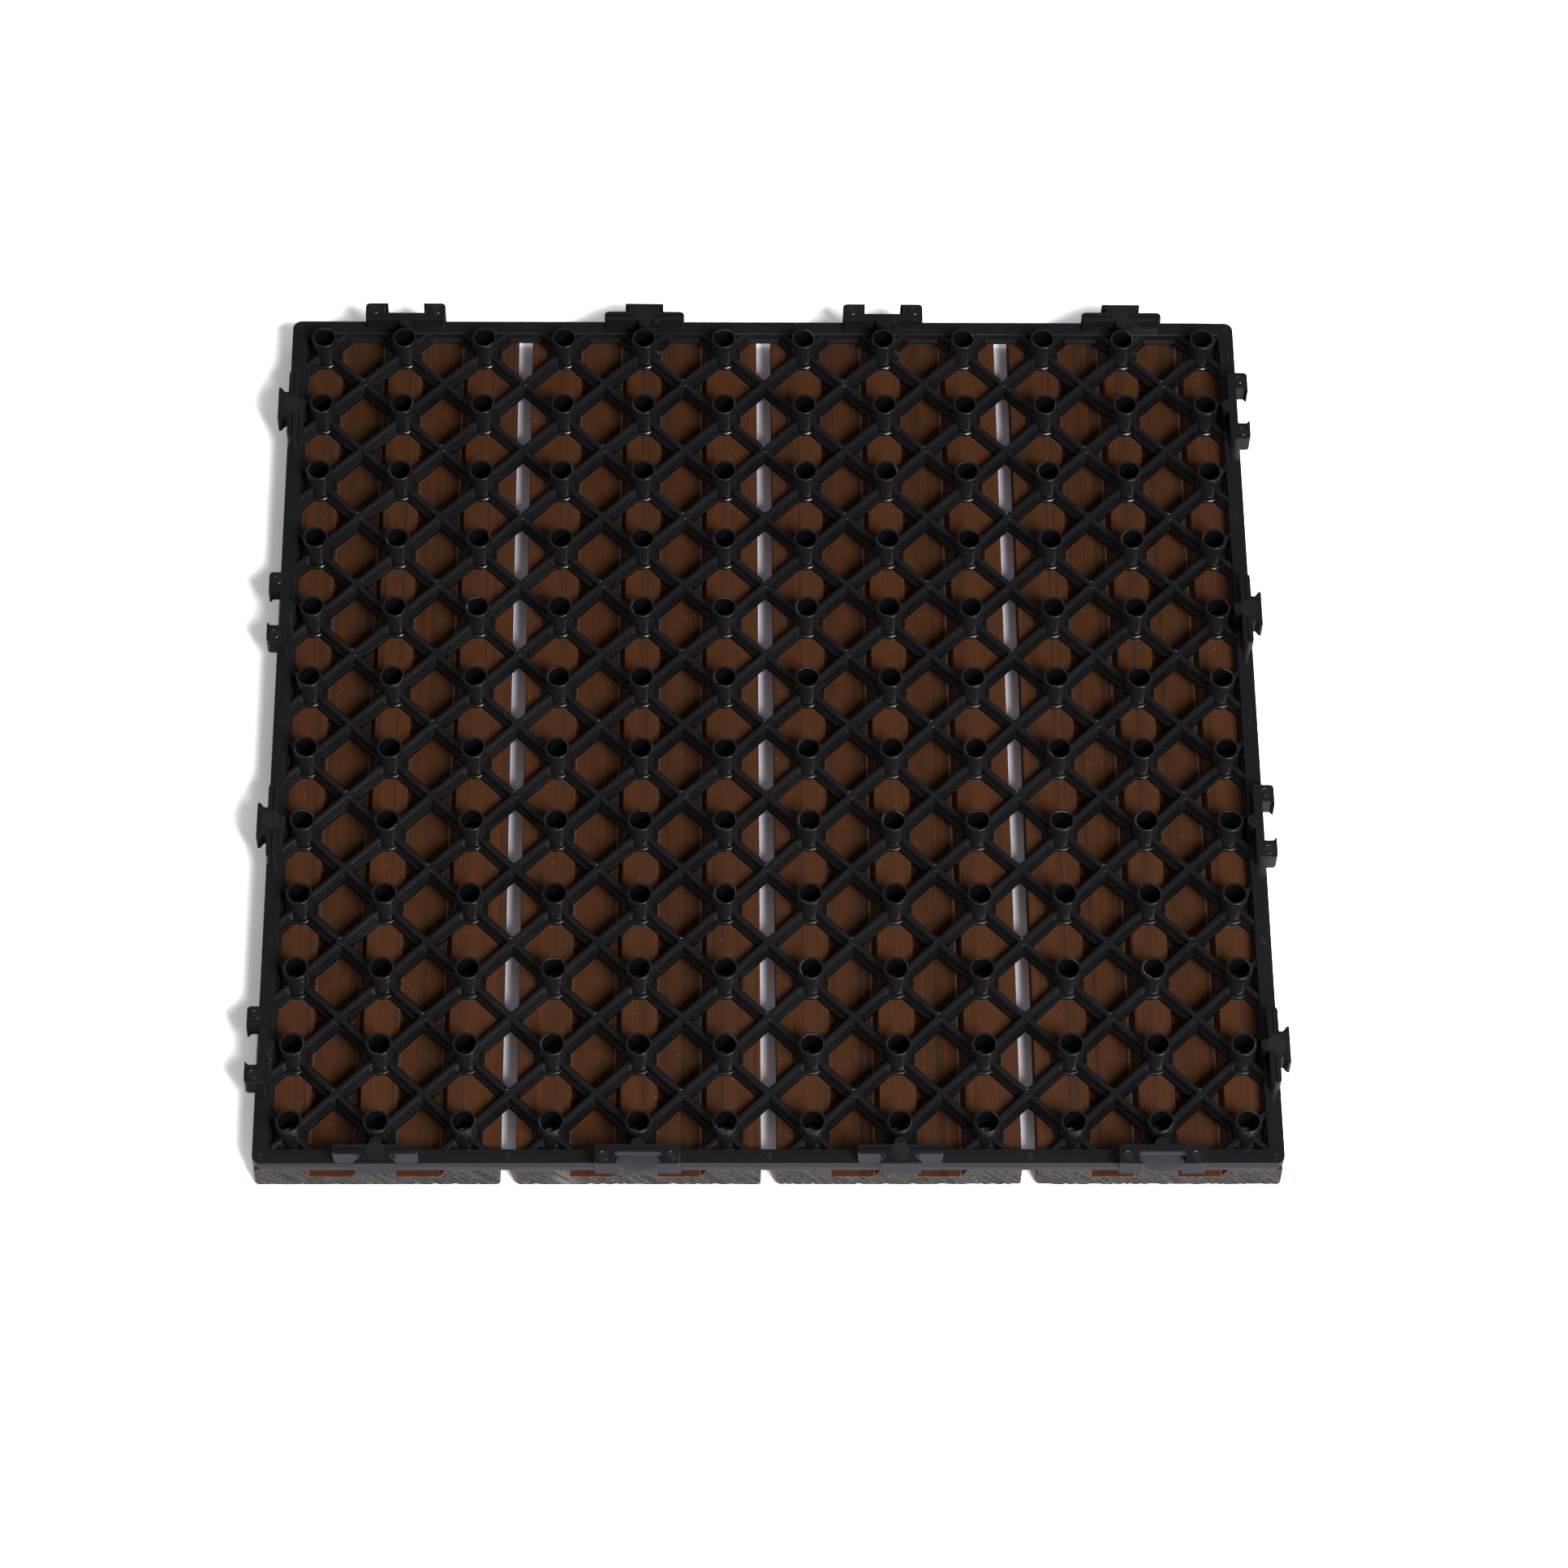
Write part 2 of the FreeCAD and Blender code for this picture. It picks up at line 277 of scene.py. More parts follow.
wearLook = {
    "speckScale": 1200.0,
    "speckRamp": (0.76, 0.80),
    "scratchScales": ((900.0, 70.0, 300.0), (110.0, 800.0, 300.0)),
    "scratchRamp": (0.70, 0.76),
    "handledScale": 60.0,       # scratches come only where it was handled
    "handledRamp": (0.5, 0.7),
    "patchScale": 35.0,
    "patchRamp": (0.3, 0.7),
}


# Dust and handling marks: pale specks, faint short scratches two ways, and patches
# that a material may use for its tone or roughness.
def makeWearGroup():
    look = wearLook
    group, given, result = newGroup(
        "handlingWear",
        [("Coordinates", "NodeSocketVector", (0, 0, 0)), ("Specks", "NodeSocketFloat", 0.5),
         ("Scratches", "NodeSocketFloat", 0.5)],
        [("Specks", "NodeSocketFloat"), ("Scratches", "NodeSocketFloat"), ("Patches", "NodeSocketFloat")])
    coordinates = given.outputs["Coordinates"]
    dust = noiseOf(group, coordinates, look["speckScale"], 1.0)
    specks = productOf(group, rampOf(group, dust, *look["speckRamp"]), given.outputs["Specks"])
    lines = 0.0
    for scales in look["scratchScales"]:
        oneWay = stretchedNoise(group, coordinates, scales, 1.0)
        lines = mathOf(group, "ADD", lines, rampOf(group, oneWay, *look["scratchRamp"]))
    handled = rampOf(group, noiseOf(group, coordinates, look["handledScale"], 2.0), *look["handledRamp"])
    scratches = productOf(group, lines, handled, given.outputs["Scratches"])
    patches = noiseOf(group, coordinates, look["patchScale"], 4.0)
    for name, value in (("Specks", specks), ("Scratches", scratches), ("Patches", patches)):
        group.links.new(value, result.inputs[name])
    return group


wearGroup = makeWearGroup()


def wearOf(tree, coordinates, specks=0.0, scratches=0.0):
    values = {"Coordinates": coordinates, "Specks": specks, "Scratches": scratches}
    return addNode(tree, "ShaderNodeGroup", values, node_tree=wearGroup).outputs


def patchyRoughness(tree, wear, smoothest, roughest):
    return rampOf(tree, wear["Patches"], *wearLook["patchRamp"], smoothest, roughest)


plasticLook = {
    "colour": (0.0100, 0.0098, 0.0115, 1),
    "paintedShadeColour": (0.0034, 0.0034, 0.0042, 1),  # painted shade at a mark of 1: in bores, on collars and flanges
    "scuffColour": (0.045, 0.045, 0.05, 1),
    "specks": 0.5,
    "scratches": 0.5,
    "roughness": (0.19, 0.32),
    "scuffDullness": 0.15,
    "markDullness": (0.8, 0.7, 0.0, 0.5),       # marks up to 0.7 are dull too, darker ones glossy
    "specular": 0.5,
    "grainScale": 2500.0,
    "grainShare": 0.3,
    "swellScale": 160.0,
    "reliefHeight": 0.00003,
    "reliefStrength": 0.6,
}


def makePlastic():
    look = plasticLook
    material, tree, shader = newMaterial("mouldedPolypropylene")
    coordinates = objectCoordinates(tree)
    wear = wearOf(tree, coordinates, look["specks"], look["scratches"])
    scuffed = mathOf(tree, "ADD", wear["Specks"], wear["Scratches"])
    colour = mixOf(tree, scuffed, look["colour"], look["scuffColour"])
    # A mark of up to 1 paints shade into the base colour: in the bores, on the collars and the ribs' flanges,
    # and partly in the middles of moulding marks.
    mark = markOf(tree)
    tree.links.new(mixOf(tree, mark, colour, look["paintedShadeColour"]), shader.inputs["Base Color"])
    shader.inputs["Specular IOR Level"].default_value = look["specular"]
    dullMark = productOf(tree, mark, rampOf(tree, mark, *look["markDullness"]))
    dull = mathOf(tree, "MULTIPLY_ADD", scuffed, look["scuffDullness"], dullMark)
    roughness = mathOf(tree, "ADD", patchyRoughness(tree, wear, *look["roughness"]), dull)
    tree.links.new(roughness, shader.inputs["Roughness"])
    grain = noiseOf(tree, coordinates, look["grainScale"], 2.0)
    swell = noiseOf(tree, coordinates, look["swellScale"], 2.0)
    height = mathOf(tree, "ADD", productOf(tree, grain, look["grainShare"]), swell)
    relief = bumpOf(tree, height, look["reliefHeight"], look["reliefStrength"])
    tree.links.new(relief, shader.inputs["Normal"])
    return material


flashLook = {
    "colour": (0.012, 0.012, 0.013, 1),
    "paleColour": (0.13, 0.13, 0.14, 1),
    "paleRamp": (0.35, 0.65),
    "roughness": (0.35, 0.5),
}


# Thin flash left at a rim: the same plastic, stretched till it turned pale.
def makeFlashPlastic():
    look = flashLook
    material, tree, shader = newMaterial("stretchedFlash")
    wear = wearOf(tree, objectCoordinates(tree))
    pale = rampOf(tree, wear["Patches"], *look["paleRamp"])
    tree.links.new(mixOf(tree, pale, look["colour"], look["paleColour"]), shader.inputs["Base Color"])
    tree.links.new(patchyRoughness(tree, wear, *look["roughness"]), shader.inputs["Roughness"])
    return material


compositeLook = {
    "colour": (0.087, 0.0282, 0.0080, 1),
    "streakColour": (0.051, 0.0195, 0.0072, 1),
    "lineColour": (0.020, 0.0125, 0.009, 1),
    "freshColour": (0.115, 0.034, 0.008, 1),
    "speckColour": (0.40, 0.33, 0.26, 1),
    "specks": 0.4,
    "fineScales": (1500.0, 9.0, 1500.0),        # of noises drawn out along the slats
    "broadScales": (240.0, 3.0, 240.0),
    "drawnScales": (520.0, 2.2, 520.0),
    "fineStreaks": (0.35, 0.75),
    "fineShare": 0.6,
    "broadStreaks": (0.42, 0.68),
    "broadShare": 0.5,
    "darkLines": (0.60, 0.68, 0.0, 0.5),
    "freshLines": (0.38, 0.30, 0.0, 0.45),
    # Lines that the extruding die left along the slats: place across, half width, depth of tone.
    "scores": ((0.0875, 0.0004, 0.6), (0.0895, 0.0010, 0.5), (0.1075, 0.0003, 0.7), (0.1120, 0.0012, 0.3),
               (-0.1345, 0.0005, 0.3), (-0.0985, 0.0003, 0.4), (-0.0360, 0.0004, 0.4), (0.0295, 0.0004, 0.5)),
    "scoreBreaks": (0.3, 0.6, 0.4, 1.0),        # the fine noise makes a line fainter in places
    "roughness": (0.3, 0.8, 0.58, 0.82),
    "specular": 0.22,
    "reliefHeight": 0.00008,
    "reliefStrength": 0.7,
    "fineRelief": 0.5,
}

# Painted shade on the floor and painted light on the slanted wall inside a groove, and a pale line at the
# wall's foot.
# Heights are over its floor, and the ramps of facing go by how far the surface's normal points up, or across
# to the right.
grooveLook = {
    "floorShade": (0.90, 0.90, 0.90, 1),       # painted shade, darkening the floors
    "floorHeights": (0.0001, 0.0002),           # full, none
    "floorFacing": (0.8, 0.95),
    "wallLight": (1.8, 1.8, 1.8, 1),           # and painted light, lightening the slanted walls in their shade
    "wallFacingUp": (0.15, 0.3),
    "wallFacingAcross": (-0.4, -0.7),
    "footColour": (0.22, 0.18, 0.16, 1),        # of a pale grey line at the foot of such a wall
    "footHeights": (0.00004, 0.00012, 0.00042, 0.00055),    # none, full, full, none
    "footFacing": (0.2, 0.5),
    "footBreaks": (0.35, 0.6, 0.45, 0.95),
}

endLook = {
    "colour": (0.084, 0.077, 0.075, 1),
    "sawnColour": (0.029, 0.026, 0.024, 1),
    "dustColour": (0.10, 0.095, 0.10, 1),
    "gritColour": (0.34, 0.32, 0.30, 1),        # and of chalk
    "skinColour": (0.19, 0.083, 0.034, 1),
    "facing": (0.75, 0.9),                      # how far an end's normal points along the slats
    "torn": {"scales": (700.0, 1.0, 1300.0), "share": 0.3},
    "sawMarks": {"scales": (1600.0, 1.0, 60.0), "slant": 0.7, "share": 0.7},
    "shadeRamp": (0.41, 0.59),
    "dustScale": 90.0,
    "dustRamp": (0.55, 0.75, 0.0, 0.35),
    "gritScale": 1900.0,
    "gritRamp": (0.66, 0.72, 0.0, 0.6),
    "chalkPlace": -0.0585,                      # of a chalky rub on one near end, across the tile
    "chalkRamp": (0.006, 0.0, 0.0, 0.5),
    "chalkFacing": (-0.5, -0.9),
    "chalkBreaks": (0.42, 0.58, 0.1, 1.0),
    "skinRamp": (0.35, 0.6),
    "skinRaggedness": 0.7,
}


# The tone of the streaks and lines that extrusion leaves along a slat.
def extrudedColour(tree, coordinates, fine, broad):
    look = compositeLook
    drawn = stretchedNoise(tree, coordinates, look["drawnScales"], 2.0)
    fineStreaks = productOf(tree, rampOf(tree, fine, *look["fineStreaks"]), look["fineShare"])
    broadStreaks = productOf(tree, rampOf(tree, broad, *look["broadStreaks"]), look["broadShare"])
    streaks = mathOf(tree, "ADD", fineStreaks, broadStreaks)
    colour = mixOf(tree, streaks, look["colour"], look["streakColour"])
    colour = mixOf(tree, rampOf(tree, drawn, *look["darkLines"]), colour, look["lineColour"])
    colour = mixOf(tree, rampOf(tree, drawn, *look["freshLines"]), colour, look["freshColour"])
    across = axesOf(tree, coordinates)["X"]
    for place, halfWidth, depth in look["scores"]:
        score = rampOf(tree, distanceFrom(tree, place, across), halfWidth, 0.0, 0.0, depth)
        score = productOf(tree, score, rampOf(tree, fine, *look["scoreBreaks"]))
        colour = mixOf(tree, score, colour, look["lineColour"])
    wear = wearOf(tree, coordinates, look["specks"])
    return mixOf(tree, wear["Specks"], colour, look["speckColour"])


def groovedColour(tree, coordinates, broad, facing, colour):
    look = grooveLook
    height = axesOf(tree, coordinates)["Z"]
    floor = layout["grooveFloor"] * mm
    full, none = [floor + over for over in look["floorHeights"]]
    # Painted shade on the floors.
    shadedFloor = productOf(tree, rampOf(tree, height, none, full),
                        rampOf(tree, facing["Z"], *look["floorFacing"]))
    colour = mixOf(tree, shadedFloor, colour, look["floorShade"], "MULTIPLY")
    # Painted light on the slanted walls, which face away from the key lamp.
    litWall = productOf(tree, rampOf(tree, facing["Z"], *look["wallFacingUp"]),
                       rampOf(tree, facing["X"], *look["wallFacingAcross"]))
    colour = mixOf(tree, litWall, colour, look["wallLight"], "MULTIPLY")
    start, full, fading, end = [floor + over for over in look["footHeights"]]
    onFoot = productOf(tree, rampOf(tree, height, start, full), rampOf(tree, height, end, fading),
                       rampOf(tree, facing["Z"], *look["footFacing"]),
                       rampOf(tree, broad, *look["footBreaks"]))
    return mixOf(tree, onFoot, colour, look["footColour"])


# The sawn ends: grey, with slanting saw marks, inside a thin skin of extruded colour.
# Gives the colour, and the shade of the marks for the relief.
def sawnColour(tree, coordinates, facing):
    look, torn, sawMarks = endLook, endLook["torn"], endLook["sawMarks"]
    tornNoise = stretchedNoise(tree, coordinates, torn["scales"], 4.0)
    values = {"Vector": coordinates, "Axis": (0, 1, 0), "Angle": sawMarks["slant"]}
    slanted = addNode(tree, "ShaderNodeVectorRotate", values).outputs[0]
    lines = stretchedNoise(tree, slanted, sawMarks["scales"], 3.0)
    shade = mathOf(tree, "ADD", productOf(tree, tornNoise, torn["share"]),
                   productOf(tree, lines, sawMarks["share"]))
    colour = mixOf(tree, rampOf(tree, shade, *look["shadeRamp"]), look["sawnColour"], look["colour"])
    dust = noiseOf(tree, coordinates, look["dustScale"], 3.0)
    colour = mixOf(tree, rampOf(tree, dust, *look["dustRamp"]), colour, look["dustColour"])
    grit = noiseOf(tree, coordinates, look["gritScale"], 1.0)
    colour = mixOf(tree, rampOf(tree, grit, *look["gritRamp"]), colour, look["gritColour"])
    aside = distanceFrom(tree, look["chalkPlace"], axesOf(tree, coordinates)["X"])
    chalk = productOf(tree, rampOf(tree, aside, *look["chalkRamp"]),
                      rampOf(tree, facing["Y"], *look["chalkFacing"]),
                      rampOf(tree, lines, *look["chalkBreaks"]))
    colour = mixOf(tree, chalk, colour, look["gritColour"])
    ragged = mathOf(tree, "MULTIPLY_ADD", tornNoise, look["skinRaggedness"], -look["skinRaggedness"] / 2)
    inwards = mathOf(tree, "ADD", markOf(tree), ragged)
    return mixOf(tree, rampOf(tree, inwards, *look["skinRamp"]), look["skinColour"], colour), shade


def makeComposite():
    look = compositeLook
    material, tree, shader = newMaterial("woodPlasticComposite")
    coordinates = objectCoordinates(tree)
    facing = axesOf(tree, addNode(tree, "ShaderNodeNewGeometry").outputs["Normal"])
    fine = stretchedNoise(tree, coordinates, look["fineScales"], 4.0)
    broad = stretchedNoise(tree, coordinates, look["broadScales"], 3.0)
    extruded = extrudedColour(tree, coordinates, fine, broad)
    extruded = groovedColour(tree, coordinates, broad, facing, extruded)
    sawn, shade = sawnColour(tree, coordinates, facing)
    isEnd = rampOf(tree, mathOf(tree, "ABSOLUTE", facing["Y"]), *endLook["facing"])
    tree.links.new(mixOf(tree, isEnd, extruded, sawn), shader.inputs["Base Color"])
    shader.inputs["Specular IOR Level"].default_value = look["specular"]
    tree.links.new(rampOf(tree, fine, *look["roughness"]), shader.inputs["Roughness"])
    height = mathOf(tree, "ADD", productOf(tree, fine, look["fineRelief"]), productOf(tree, shade, isEnd))
    relief = bumpOf(tree, height, look["reliefHeight"], look["reliefStrength"])
    tree.links.new(relief, shader.inputs["Normal"])
    return material


steelLook = {
    "colour": (0.42, 0.42, 0.44, 1),
    "dullColour": (0.27, 0.27, 0.28, 1),
    "roughness": (0.3, 0.5),
}


def makeSteel():
    look = steelLook
    material, tree, shader = newMaterial("zincPlatedSteel")
    wear = wearOf(tree, objectCoordinates(tree))
    colour = mixOf(tree, wear["Patches"], look["colour"], look["dullColour"])
    tree.links.new(colour, shader.inputs["Base Color"])
    shader.inputs["Metallic"].default_value = 1.0
    tree.links.new(patchyRoughness(tree, wear, *look["roughness"]), shader.inputs["Roughness"])
    return material


plastic = makePlastic()
flashPlastic = makeFlashPlastic()
composite = makeComposite()
steel = makeSteel()
print("materials made")

foot = {
    "around": 24,
    "sharpAngle": 40,
    "radius": 3.8,
    "taper": 4.0,           # how far below its mouth a foot starts to widen
    "rootRadius": 3.95,
    "rootDrop": 0.08,       # how far the collar has fallen where the foot stands on it
    "rim": 0.16,
    "bore": 3.12,
    "boreFloor": 10.6,
    "collar": 5.2,
    "collarTop": 10.62,
    "collarChamfer": 0.15,  # where it meets the slats
    # How the collar's top falls towards its edge: distance in from the edge, drop.
    # Most of the fall is one straight slope of 43 degrees, so that it glints in one place.
    "collarCurve": ((0.0, 0.52), (0.06, 0.421), (0.08, 0.402), (0.33, 0.166), (0.35, 0.147), (0.37, 0.137)),
    # painted shade on the collar's top and edge
    "collarShade": 1.0,
    "boreShades": (0.85, 0.85, 1.0),     # painted shade in the bore, from the rim to the middle of the floor
}


def footProfile():
    bottom, top, rim = layout["slatTop"], layout["feetTop"], foot["rim"]
    collar, collarTop, chamfer = foot["collar"], foot["collarTop"], foot["collarChamfer"]
    radius, root, bore, floor = foot["radius"], foot["rootRadius"], foot["bore"], foot["boreFloor"]
    edge = [(collar - chamfer, bottom), (collar, bottom + chamfer)]
    edge += [(collar - inwards, collarTop - drop) for inwards, drop in foot["collarCurve"]]
    outside = [(root, collarTop - foot["rootDrop"]), (root - 0.005, collarTop + 0.04),
               (radius, top - foot["taper"]), (radius, top - rim)]
    mouth = [(radius - rim * 0.4, top - rim * 0.3), (radius - rim, top),
             (bore + rim, top), (bore + rim * 0.3, top - rim * 0.3)]
    inside = [(bore, top - rim), (bore - 0.05, floor + 0.2), (bore - 0.25, floor)]
    return edge + outside + mouth + inside


def makeFeet():
    profile = footProfile()
    shape = turned(profile, foot["around"])
    shadeMarks = np.zeros(len(profile))
    shadeMarks[:3 + len(foot["collarCurve"])] = foot["collarShade"]        # painted shade on the collar, up to the foot's root
    # and painted shade inside the bore
    shadeMarks[-3:] = foot["boreShades"]
    shape["mark"] = np.repeat(shadeMarks, foot["around"])
    return makePiece("feet", repeated(shape, footPlaces), plastic, foot["sharpAngle"])


flash = {
    # Feet with plain flash round the mouth: column, row, the angle where it starts
    # and how far round it goes, in degrees, and how wide it is.
    "plain": [
        (6, 6, 150, 80, 0.42), (6, 7, 60, 70, 0.25), (7, 7, 100, 90, 0.25), (8, 8, 20, 60, 0.35),
        (9, 8, 60, 70, 0.42), (10, 8, 50, 80, 0.42), (6, 9, 90, 160, 0.5), (11, 10, 190, 70, 0.4),
        (3, 5, 165, 35, 0.5), (12, 5, 80, 60, 0.3), (12, 6, 30, 60, 0.3), (12, 7, 100, 60, 0.25),
        (12, 8, 70, 50, 0.3), (6, 8, 210, 60, 0.3),
    ],
    # Every foot has a little more: the least and the most of start, sweep and width.
    "faint": ((0, 25, 0.03), (360, 110, 0.11)),
    "step": 7,              # degrees between its sections
    "fewestSections": 6,
    "lap": 0.2,             # how far it lies over the rim
    "thickness": 0.06,
    "drop": 0.005,          # its top below the rim's
}


# A strip round part of a rim: at angle a it reaches from the rim's radius inwards by
# its width times a ragged factor, which falls to nothing at both ends.
def flashShape(start, sweep, width):
    count = max(flash["fewestSections"], int(sweep / flash["step"]))
    share = np.linspace(0, 1, count)
    angle = np.radians(start + sweep * share)
    ragged = np.sin(np.pi * share) ** 0.5 * random.uniform(0.35, 1.0, count) + 0.03
    outer = np.full(count, foot["bore"] + flash["lap"])
    inner = outer - flash["lap"] - width * ragged * 0.6
    top = layout["feetTop"] - flash["drop"]
    low = top - flash["thickness"]
    fall = width * ragged * 0.3
    section = [(outer, low + 0.02), (inner, low - fall), (inner, top - fall), (outer, top)]
    lines = [np.column_stack([r * np.cos(angle), r * np.sin(angle), z + 0 * angle]) for r, z in section]
    quads, caps = tubeFaces(count, len(section))
    return {"points": np.stack(lines, axis=1).reshape(-1, 3), "quads": quads, "caps": caps}


def makeRimFlash():
    shapes = [moved(flashShape(start, sweep, width), footPlace(column, row))
              for column, row, start, sweep, width in flash["plain"]]
    for place in footPlaces:
        start, sweep, width = random.uniform(*flash["faint"])
        shapes.append(moved(flashShape(start, sweep, width), place))
    makePiece("rimFlash", shapes, flashPlastic)


rib = {
    "topHalf": 0.7,
    "rootHalf": 0.98,
    "flangeHalf": 1.95,
    "flangeFoot": 2.25,     # where the flange meets the slats
    "flangeShade": 1.0,      # how much painted shade darkens the flange and the web's foot, against the top
    "flangeTop": 10.45,
    "top": 13.1,
    "insideFoot": 3.4,      # how far from a foot's axis a rib starts
    "insideRail": 1.5,      # how far into the rail it runs
}


# Across a rib, from its right foot over its top to its left one.
def ribSection():
    bottom, flangeTop, top = layout["slatTop"], rib["flangeTop"], rib["top"]
    flangeHalf, rootHalf, topHalf = rib["flangeHalf"], rib["rootHalf"], rib["topHalf"]
    right = [
        (rib["flangeFoot"], bottom), (flangeHalf, flangeTop - 0.25), (flangeHalf - 0.22, flangeTop - 0.03),
        (rootHalf + 0.2, flangeTop + 0.02), (rootHalf, flangeTop + 0.25),
        (topHalf + 0.02, top - 0.15), (topHalf - 0.15, top),
    ]
    return np.array(right + [(-across, up) for across, up in reversed(right)])


def makeRibs():
    section = ribSection()
    pitch, inner = layout["pitch"], layout["railInner"]
    diagonal = pitch * math.sqrt(2)
    shadeMarks = np.zeros(len(section))
    shadeMarks[:5] = shadeMarks[-5:] = rib["flangeShade"]        # painted shade on all but the rib's top

    def bar(start, end):
        return {**carried(section, start, end), "mark": np.tile(shadeMarks, 2)}

    between = bar(rib["insideFoot"], diagonal - rib["insideFoot"])
    end = inner + rib["insideRail"]
    shapes = []
    for x in gridLine:
        for y in gridLine:
            for quarter in range(4):
                turn = math.pi / 4 + quarter * math.pi / 2
                dx, dy = math.copysign(1, math.cos(turn)), math.copysign(1, math.sin(turn))
                inside = abs(x + dx * pitch) < inner and abs(y + dy * pitch) < inner
                if inside and quarter < 2:
                    shapes.append(moved(between, (x, y), turn))
                if not inside:
                    reach = min(end - dx * x, end - dy * y) * math.sqrt(2)
                    shapes.append(moved(bar(rib["insideFoot"], reach), (x, y), turn))
    makePiece("ribs", shapes, plastic)


crossing = {
    "fillet": 0.6,
    "arm": 1.6,             # how far its arms reach past the ribs' sides, in fillets
    "armEdge": 0.02,
    "padRadius": 1.4,
    "padRise": 0.08,
    "padAround": 20,
}


# Where two ribs cross, the corners between them are filled by small curves. The
# outline of such a crossing is the plus of both ribs with its inner corners rounded.
def crossingOutline(halfWidth):
    arm = halfWidth + crossing["fillet"] * crossing["arm"]
    w = halfWidth
    corners = [(arm, -w), (arm, w), (w, w), (w, arm), (-w, arm), (-w, w),
               (-arm, w), (-arm, -w), (-w, -w), (-w, -arm), (w, -arm), (w, -w)]
    return corners, [crossing["armEdge"], crossing["armEdge"], crossing["fillet"]] * 4


# The raised pad in the middle of a crossing, with a shallow dish in its top.
def padShape():
    radius, top = crossing["padRadius"], rib["top"]
    rim = top + crossing["padRise"]
    return turned([(radius, rib["flangeTop"]), (radius, top - 0.02), (radius - 0.1, rim),
                   (radius - 0.35, rim), (radius - 0.42, rim - 0.05)], crossing["padAround"])


def makeCrossings():
    bottom, flangeTop, top = layout["slatTop"], rib["flangeTop"], rib["top"]
    webLevels = [(flangeTop - 0.3, -0.3), (flangeTop + 0.25, -0.26), (top - 0.08, -0.02), (top + 0.01, 0.02)]
    web = raised(*crossingOutline(rib["topHalf"]), webLevels, 4)
    # Painted shade on the crossings' flanges and the foot of their webs.
    web["mark"] = np.repeat([rib["flangeShade"], rib["flangeShade"], 0.0, 0.0], len(web["points"]) // 4)
    flangeLevels = [(bottom, 0.0), (flangeTop - 0.05, 0.0), (flangeTop + 0.01, 0.04)]
    flange = raised(*crossingOutline(rib["flangeHalf"]), flangeLevels, 4)
    flange["mark"] = np.full(len(flange["points"]), rib["flangeShade"])
    pad = padShape()
    middles = (np.arange(layout["feet"] - 1) - (layout["feet"] - 2) / 2) * layout["pitch"]
    shapes = []
    for i, x in enumerate(middles):
        for j, y in enumerate(middles):
            shapes += [moved(web, (x, y), math.pi / 4), moved(flange, (x, y), math.pi / 4)]
            if (i + j) % 2 == 0:        # a pad on every other one
                shapes.append(moved(pad, (x, y)))
    makePiece("crossings", shapes, plastic)


# A round moulding mark: a shallow raised ring with a flat, dull middle, darkened by painted shade.
def markShape(radius, level, rise):
    around = 24
    ring = [(radius + 0.12, level - 0.3), (radius + 0.12, level + 0.02),
            (radius, level + rise), (radius - 0.14, level + rise)]
    middle = [(radius - 0.34, level + 0.02), (radius - 0.4, level + 0.02)]
    dullAndShaded = [0.0] * len(ring) + [0.7] * len(middle)
    return {**turned(ring + middle, around), "mark": np.repeat(dullAndShaded, around)}


rail = {
    "corner": 2.8,
    "edge": 0.3,
    "flange": 0.7,          # how far the flange stands in from the rail's inner face
    "stations": 7,          # round each corner
    "markRadius": 1.05,
    "markRise": 0.07,
    "marks": (-145.6, -75.0, 0.0, 75.0),        # ejector marks along each side
}


# The rail's section carried round a square with rounded corners. At distance d
# from the middle the corner's radius is d less the place of the corners' centres.
def makeRail():
    outer, inner, edge = layout["railOuter"], layout["railInner"], rail["edge"]
    bottom, top, step = layout["slatTop"], layout["railTop"], rib["flangeTop"]
    lip = inner - rail["flange"]
    corners = [(outer, bottom), (outer, top), (inner, top), (inner, step), (lip, step), (lip, bottom)]
    section = rounded(corners, [0.1, edge, edge, 0.15, 0.2, 0.1], 4)
    centre = outer - rail["corner"]
    angle = np.linspace(0, np.pi / 2, rail["stations"])
    distance = section[:, :1]
    radius = np.maximum(distance - centre, 0.05)
    hub = distance - radius
    x = hub + radius * np.cos(angle)
    y = hub + radius * np.sin(angle)
    z = section[:, 1:] * np.ones(len(angle))
    quarters = []
    for quarter in range(4):
        c, s = round(math.cos(quarter * math.pi / 2)), round(math.sin(quarter * math.pi / 2))
        quarters.append(np.stack([c * x - s * y, s * x + c * y, z], axis=-1))
    grid = np.concatenate(quarters, axis=1).transpose(1, 0, 2)
    stations, around = grid.shape[:2]
    ring = tubeFaces(stations + 1, around)[0][:, ::-1] % (stations * around)     # closed on itself
    shape = {"points": grid.reshape(-1, 3), "quads": ring, "caps": np.zeros((0, 3), int)}
    mark = markShape(rail["markRadius"], top, rail["markRise"])
    marks = repeated(mark, [(along, (outer + inner) / 2) for along in rail["marks"]])
    makePiece("rail", [shape] + onFourSides(marks), plastic)


